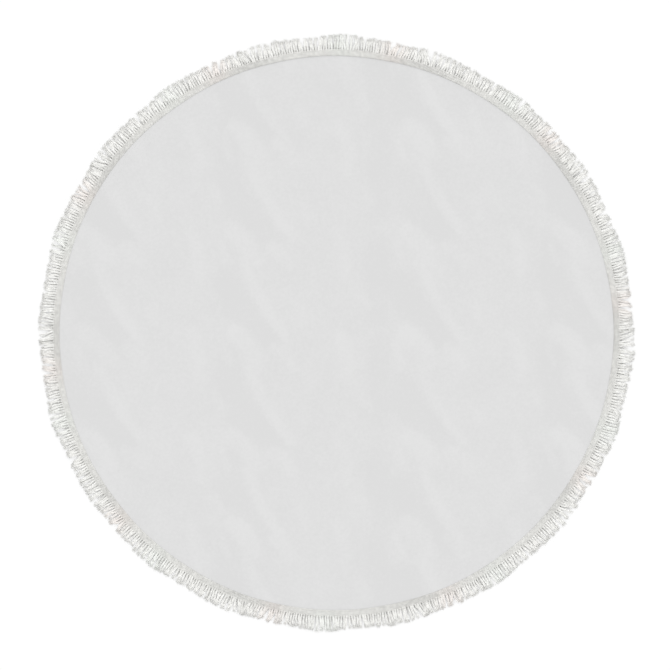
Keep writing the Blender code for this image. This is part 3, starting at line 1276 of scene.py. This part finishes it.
@dataclass
class YarnFringe:
    """The fringe: loosely twisted yarns of four plies, lying in the tape's tufts, with frayed ends."""

    plan: TowelPlan
    tape: TuftTape
    finish: YarnFinish
    plies: int = 4
    pieces: int = 6
    stations: int = 13
    sides: int = 4
    seed: int = 23
    root_depth: float = 0.0060
    root_height: float = 0.0031
    root_dip: float = 0.0005
    drop_length: float = 0.020
    crown: float = 0.11
    crowned_from: int = 3
    edge_gain: float = 1.25
    gathering: float = 1.3
    reach_spread: float = 0.0225
    tuft_lean: float = math.radians(1.0)
    yarn_lean: float = math.radians(3.2)
    lean_start: float = 0.1
    lean_run: float = 0.25
    curl_start: float = 0.62
    curl_shares: Place = (0.3, 1.0)
    curl_spread: float = 0.20
    wobble: float = 0.08
    wobble_run: float = 0.4
    wobble_turns: Place = (0.5, 1.3)
    stray_share: float = 0.05
    stray_lean: float = 0.35
    stray_lift: float = 0.0022
    lift_spread: float = 0.0009
    fullness: float = 0.92
    gap_shapes: tuple[GapShape, ...] = (
        GapShape(inset=-0.0004, length=0.80),
        GapShape(inset=0.0001, length=0.38),
        GapShape(inset=0.0008, length=0.50),
        GapShape(inset=0.0010, length=0.72),
        GapShape(inset=0.0011, length=1.10),
    )
    # Each section's tone is painted light: darker near the root, as the heading's shade, darker towards
    # the end, as shade, and lightest in the middle.
    sections: tuple[YarnSection, ...] = (
        YarnSection(along=0.00, ply_radius=0.40, ply_offset=0.55, tone=0.44),
        YarnSection(along=0.12, ply_radius=0.42, ply_offset=0.58, tone=0.66),
        YarnSection(along=0.42, ply_radius=0.42, ply_offset=0.58, tone=0.88),
        YarnSection(along=0.74, ply_radius=0.36, ply_offset=0.64, tone=0.96),
        YarnSection(along=0.90, ply_radius=0.25, ply_offset=0.80, tone=0.74),
        YarnSection(along=1.00, ply_radius=0.08, ply_offset=1.05, tone=0.45),
    )
    lie_flat: float = 0.35
    turns: Place = (0.25, 0.65)
    ply_spread: Place = (0.85, 1.15)
    # How much each ply's sides are painted darker, as shade: a little on the flanks, most underneath.
    side_painted_shade: tuple[float, ...] = (0.05, 0.0, 0.05, 0.30)
    usual_white_and_highlight: float = 2.9
    usual_end_shade: float = 2.0
    digit_tone: float = 0.15
    chance_tone: float = 0.07
    root_run: float = 0.35
    end_shade_start: float = 0.60
    end_shade_run: float = 0.22

    @property
    def run(self) -> Array:
        """Each station's place along a yarn, from 0 at its root to 1 at its tip."""
        return np.linspace(0.0, 1.0, self.stations)

    def profile(self, field: str) -> Array:
        """One field of the yarn's sections, drawn straight from section to section, at each station."""
        along, values = zip(*((row.along, getattr(row, field)) for row in self.sections))
        return np.interp(self.run, along, values)

    def side_width(self, yarns: dict[str, Array], side: Side) -> Array:
        """How far one side of each yarn lies from its middle: half its span less the gap beside it.

        Args:
            yarns: The tape's yarns.
            side: The side, whose gap's digit is read.

        Returns:
            Widths shaped (yarns, stations).
        """
        table = np.array([astuple(shape) for shape in self.gap_shapes])
        inset, length = table[yarns[side.value].astype(int)].T[..., None]
        half = self.fullness * yarns["span"] * self.tape.pitch * self.plan.heading_outer / 2
        return half[:, None] - inset * (1 - ease(self.run / length))

    def paths(self, yarns: dict[str, Array], dice: np.random.Generator) -> Array:
        """Lays every yarn's middle line.

        A yarn's heading is an angle that changes along it. It adds up its tuft's lean less the gather
        times the yarn's place, from soon after the root, the sway times the cosine of a half turn, a
        slow wobble, and the curl towards the end. Its way out and sideways add up the cosine and the
        sine of that angle. Its height rises a little out of the tape, then eases down to the surface.

        Args:
            yarns: The tape's yarns.
            dice: The seeded source of chance.

        Returns:
            Points shaped (yarns, stations, 3).
        """
        count, tuft = len(yarns["step"]), yarns["tuft"].astype(int)
        s = self.run
        lone = yarns["steps"] == 1
        edge = np.clip(self.edge_gain * yarns["place"], -1.0, 1.0)
        stray = dice.random(count) < self.stray_share
        lean = np.radians(yarns["lean"] - self.gathering * yarns["gather"] * yarns["place"])
        lean = lean + dice.normal(0.0, self.tuft_lean, count)[tuft]
        lean = lean + dice.normal(0.0, self.yarn_lean, count)
        lean = lean + stray * dice.uniform(-1, 1, count) * self.stray_lean
        curl = np.radians(yarns["curl"]) * np.where(lone, 1.0, -edge * np.abs(edge))
        curl = curl * dice.uniform(*self.curl_shares, count)
        curl = curl + dice.normal(0.0, self.curl_spread, count)
        reach = yarns["reach"] - self.crown * (yarns["steps"] >= self.crowned_from) * edge**2
        reach = reach + dice.normal(0.0, self.reach_spread, count)
        reach = reach + dice.uniform(-1, 1, count)[tuft] * self.reach_spread
        length = self.plan.fringe_length * reach / np.cos(lean) + self.root_depth
        turns = dice.uniform(*self.wobble_turns, count)[:, None]
        wave = self.wobble * np.sin(math.tau * (turns * s + dice.random(count)[:, None]))
        heading = lean[:, None] * ease((s - self.lean_start) / self.lean_run)
        heading = heading + wave * ease(s / self.wobble_run)
        heading = heading + np.radians(yarns["sway"])[:, None] * np.cos(math.pi * s)
        heading = heading + curl[:, None] * ease((s - self.curl_start) / (1 - self.curl_start))
        step = length[:, None] / (self.stations - 1)
        out = np.cumsum(np.cos(heading) * step, axis=1) - step - self.root_depth
        clockwise = np.cumsum(np.sin(heading) * step, axis=1)
        before, after = (self.side_width(yarns, side) for side in Side)
        clockwise = clockwise - clockwise[:, :1] + (after - before) / 2
        thickness = self.profile("ply_radius") + self.profile("ply_offset") * self.lie_flat
        level = (before + after) / 2 * thickness
        up = level + (self.root_height - level) * (1 - ease(out / self.drop_length))
        up = up - self.root_dip * (1 - ease(out / self.root_depth + 1))
        lift = stray * self.stray_lift + dice.uniform(0.0, self.lift_spread, count)
        up = up + lift[:, None] * np.sin(math.pi * s)
        return self.plan.place(yarns["angle"][:, None], out, -clockwise, up)

    def ply_rings(self, yarns: dict[str, Array], paths: Array, dice: np.random.Generator) -> Array:
        """Winds the plies round each yarn's middle line and gives each its rings of points.

        A ply's middle stands off the yarn's by the offset, at an angle that turns evenly along the
        yarn. The upright part is lessened, as the yarn lies flat. The ends spread and thin out.

        Args:
            yarns: The tape's yarns.
            paths: The yarns' middle lines, shaped (yarns, stations, 3).
            dice: The seeded source of chance.

        Returns:
            Points shaped (yarns, plies, stations, sides, 3).
        """
        count = len(paths)
        half = sum(self.side_width(yarns, side) for side in Side) / 2
        radius, offset = self.profile("ply_radius") * half, self.profile("ply_offset") * half
        _, sideways, square = path_ways(paths)
        start = dice.uniform(0.0, math.tau, (count, 1, 1))
        ply = math.tau * np.arange(self.plies)[None, :, None] / self.plies
        turn = start + ply + math.tau * dice.uniform(*self.turns, (count, 1, 1)) * self.run
        spread = offset[:, None] * dice.uniform(*self.ply_spread, (count, self.plies, 1))
        across = (np.cos(turn) * spread)[..., None] * sideways[:, None]
        upright = (np.sin(turn) * offset[:, None] * self.lie_flat)[..., None] * square[:, None]
        centre = (paths[:, None] + across + upright).reshape(-1, self.stations, 3)
        rings = tube_rings(centre, np.repeat(radius, self.plies, axis=0), self.sides)
        return rings.reshape(count, self.plies, self.stations, self.sides, 3)

    def tints(self, yarns: dict[str, Array], dice: np.random.Generator) -> Array:
        """Each point's shade from 0 to 1, mostly painted light and shade: the section's tone, the
        charted digits and a chance part.

        The digit for the middle paints it lighter, as the cotton's tone and a highlight, and the digit
        for the end paints the end darker, as shade.

        Args:
            yarns: The tape's yarns.
            dice: The seeded source of chance.

        Returns:
            Shades shaped (yarns, stations).
        """
        # The end is painted darker, as shade, and the middle lighter, as the cotton's tone and a painted
        # highlight.
        end = ease((self.run - self.end_shade_start) / self.end_shade_run)
        middle = ease(self.run / self.root_run) * (1 - end)
        white = self.digit_tone * (yarns["white"] - self.usual_white_and_highlight)
        end_shade = self.digit_tone * (yarns["end_shade"] - self.usual_end_shade)
        chance = dice.normal(0.0, self.chance_tone, len(white))
        tone = self.profile("tone") + white[:, None] * middle - end_shade[:, None] * end
        return np.clip(tone + chance[:, None], 0.0, 1.0)

    def build(self) -> list[bpy.types.Object]:
        """Builds the fringe in even parts round the towel.

        Returns:
            The finished pieces.
        """
        dice = np.random.default_rng(self.seed)
        yarns = self.tape.yarns()
        paths = self.paths(yarns, dice)
        rings = self.ply_rings(yarns, paths, dice)
        # Each ply is painted darker on its flanks and most on its underside, as shade.
        tints = self.tints(yarns, dice)[:, None, :, None] - np.array(self.side_painted_shade)
        hues = yarns["hue"][:, None, None, None]
        material = self.finish.build()
        made = []
        for part, chosen in enumerate(np.array_split(np.arange(len(rings)), self.pieces), start=1):
            name = f"fringe_yarns_{part}"
            piece = make_tubes(name, rings[chosen], material, tints[chosen], hues[chosen])
            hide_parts(TRIM_NODE)
            made.append(piece)
        made.append(EndFibres().build(paths, yarns["hue"], material))
        # Dull threads in the wide gaps, as painted shade between the roots.
        made.append(GapShadeThreads().build(paths, yarns))
        return made


@dataclass
class GapShadeThreads:
    """Dull threads laid low in the open gaps between the yarns' roots, as painted shade there."""

    finish: YarnFinish = YarnFinish(
        name="gap_shade_cotton", dull=(0.760, 0.757, 0.735), bright=(0.910, 0.907, 0.882)
    )
    sides: int = 4
    start: float = 0.15
    ends: tuple[float, ...] = (0.0, 0.0, 0.44, 0.62, 0.84)
    radius: tuple[float, ...] = (0.0010, 0.0010, 0.0009, 0.0007, 0.0003)
    height_share: float = 0.48
    tint: float = 0.3

    def build(self, paths: Array, yarns: dict[str, Array]) -> bpy.types.Object:
        """Builds one thread for each wide gap of the tape's chart, a dull strand that stands for shade.

        A thread follows the mean of its two yarns' middle lines, lower down, from near their roots as
        far as the gap is long. Its points are read from that mean line between its own points.

        Args:
            paths: The yarns' middle lines, shaped (yarns, stations, 3).
            yarns: The tape's yarns.

        Returns:
            The finished piece.
        """
        ends = np.array(self.ends)[yarns[Side.AFTER.value][:-1].astype(int)]
        wide = ends > 0
        middle = (paths[:-1] + paths[1:])[wide] / 2
        t = np.linspace(0.0, 1.0, len(self.radius))
        number = (self.start + t * (ends[wide, None] - self.start)) * (paths.shape[1] - 1)
        low = number.astype(int)
        each = np.arange(len(middle))[:, None]
        beyond = (number - low)[..., None]
        centre = middle[each, low] * (1 - beyond) + middle[each, low + 1] * beyond
        centre[..., 2] *= self.height_share
        rings = tube_rings(centre, np.broadcast_to(self.radius, number.shape), self.sides)
        hue = yarns["hue"][:-1][wide, None, None]
        piece = make_tubes("fringe_gap_shade_threads", rings, self.finish.build(), self.tint, hue)
        return piece


@dataclass
class EndFibres:
    """The fine fibres that stray from the yarns' frayed ends."""

    each: int = 7
    stations: int = 4
    sides: int = 4
    seed: int = 31
    first_station: int = -3
    length: Place = (0.005, 0.011)
    fan: float = math.radians(20.0)
    bend: float = math.radians(30.0)
    root_spread: float = 0.0016
    height: float = 0.0011
    heights: Place = (0.3, 1.6)
    settling: float = 0.6
    radius: tuple[float, ...] = (0.00032, 0.00030, 0.00024, 0.00010)
    tint: float = 0.26

    def build(self, paths: Array, hue: Array, material: bpy.types.Material) -> bpy.types.Object:
        """Builds the fibres: each starts beside its yarn near the end and runs on a little aside.

        A fibre's heading is its yarn's, turned by a chance angle that grows evenly by a chance bend.
        Its points add up that heading's cosine ahead and sine sideways. Its height is a chance share
        of the usual one, and falls evenly by the settling share towards its tip.

        Args:
            paths: The yarns' middle lines, shaped (yarns, stations, 3).
            hue: Each yarn's hue.
            material: The yarns' material.

        Returns:
            The finished piece.
        """
        dice = np.random.default_rng(self.seed)
        count = len(paths) * self.each
        start = np.repeat(paths[:, self.first_station, :2], self.each, axis=0)
        ahead = np.repeat(paths[:, -1, :2] - paths[:, self.first_station, :2], self.each, axis=0)
        ahead /= np.linalg.norm(ahead, axis=-1, keepdims=True)
        sideways = np.stack((-ahead[:, 1], ahead[:, 0]), axis=-1)
        t = np.linspace(0.0, 1.0, self.stations)
        turn = dice.normal(0.0, self.fan, (count, 1)) + dice.normal(0.0, self.bend, (count, 1)) * t
        step = dice.uniform(*self.length, (count, 1)) / (self.stations - 1)
        along = np.cumsum(np.cos(turn) * step, axis=1) - step
        aside = np.cumsum(np.sin(turn) * step, axis=1) + dice.normal(0.0, self.root_spread, (count, 1))
        level = start[:, None] + along[..., None] * ahead[:, None]
        level = level + aside[..., None] * sideways[:, None]
        up = self.height * dice.uniform(*self.heights, (count, 1)) * (1 - self.settling * t)
        up = up + max(self.radius)
        centre = np.concatenate((level, up[..., None]), axis=-1)
        radius = np.broadcast_to(self.radius, up.shape)
        rings = tube_rings(centre, radius, self.sides, first=math.pi / 4)
        hues = np.repeat(hue, self.each)[:, None, None]
        piece = make_tubes("fringe_end_fibres", rings, material, self.tint, hues)
        return piece


@dataclass
class Studio:
    """A plain white floor under soft light, with the camera straight above the towel."""

    metres_per_pixel: float = 0.00256
    picture_width: int = 670
    towel_middle_pixel: Place = (336.29, 332.77)
    lens: float = 85.0
    sensor: float = 36.0
    floor_half: float = 6.0
    floor_points: int = 5
    floor_drop: float = 0.0001
    sky: float = 1.02
    key: float = 0.45
    key_softness: float = 30.0
    key_from_zenith: float = 68.0
    key_turn: float = 165.0

    def build_floor(self) -> None:
        """Lays the floor, which isn't part of the object, as a square grid just under the towel."""
        run = np.linspace(-self.floor_half, self.floor_half, self.floor_points)
        y, x = np.meshgrid(run, run, indexing="ij")
        points = np.stack((x, y, np.full_like(x, -self.floor_drop)), axis=-1)
        corners = grid_corners(*x.shape, wrap_rows=False, wrap_columns=False)
        floor = make_piece("floor", points, corners, FloorFinish().build())

    def build_lights(self) -> None:
        """Adds even white light from all round, and a soft light from the picture's top right."""
        world = bpy.data.worlds.new("white_room")
        world.use_nodes = True
        background = world.node_tree.nodes["Background"]
        background.inputs["Color"].default_value = (1.0, 1.0, 1.0, 1.0)
        background.inputs["Strength"].default_value = self.sky
        bpy.context.scene.world = world
        light = bpy.data.lights.new("soft_key", "SUN")
        light.energy = self.key
        light.angle = math.radians(self.key_softness)
        key = bpy.data.objects.new("soft_key", light)
        key.rotation_euler = (math.radians(self.key_from_zenith), 0.0, math.radians(self.key_turn))
        bpy.context.scene.collection.objects.link(key)

    def build_camera(self) -> None:
        """Puts the camera above the picture's middle, as high as its lens needs to frame the picture."""
        width = self.metres_per_pixel * self.picture_width
        right, down = (self.picture_width / 2 - pixel for pixel in self.towel_middle_pixel)
        data = bpy.data.cameras.new("camera_above")
        data.lens = self.lens
        data.sensor_width = self.sensor
        camera = bpy.data.objects.new("camera_above", data)
        x, y = right * self.metres_per_pixel, -down * self.metres_per_pixel
        camera.location = (x, y, width * self.lens / self.sensor)
        bpy.context.scene.collection.objects.link(camera)
        bpy.context.scene.camera = camera

    def build(self) -> None:
        """Sets up the whole studio, with colours shown as they are."""
        self.build_floor()
        self.build_lights()
        self.build_camera()
        bpy.context.scene.view_settings.view_transform = "Standard"


def main() -> None:
    logging.basicConfig(level=logging.INFO, format="%(name)s: %(message)s")
    plan = TowelPlan()
    plan.check_against(CLOTH_NODE, TRIM_NODE)
    Studio().build()
    cloth = PlushCloth(plan, PlushFinish()).build()
    tape = TuftTape()
    heading = WovenHeading(plan, tape, TapeFinish()).build()
    stitches = Lockstitch(plan, YarnFinish(name="sewing_thread")).build()
    yarns = YarnFringe(plan, tape, YarnFinish()).build()
    trim = [heading, stitches, *yarns]
    for piece in (cloth, *trim):
        report(piece)


if __name__ == "__main__":
    main()
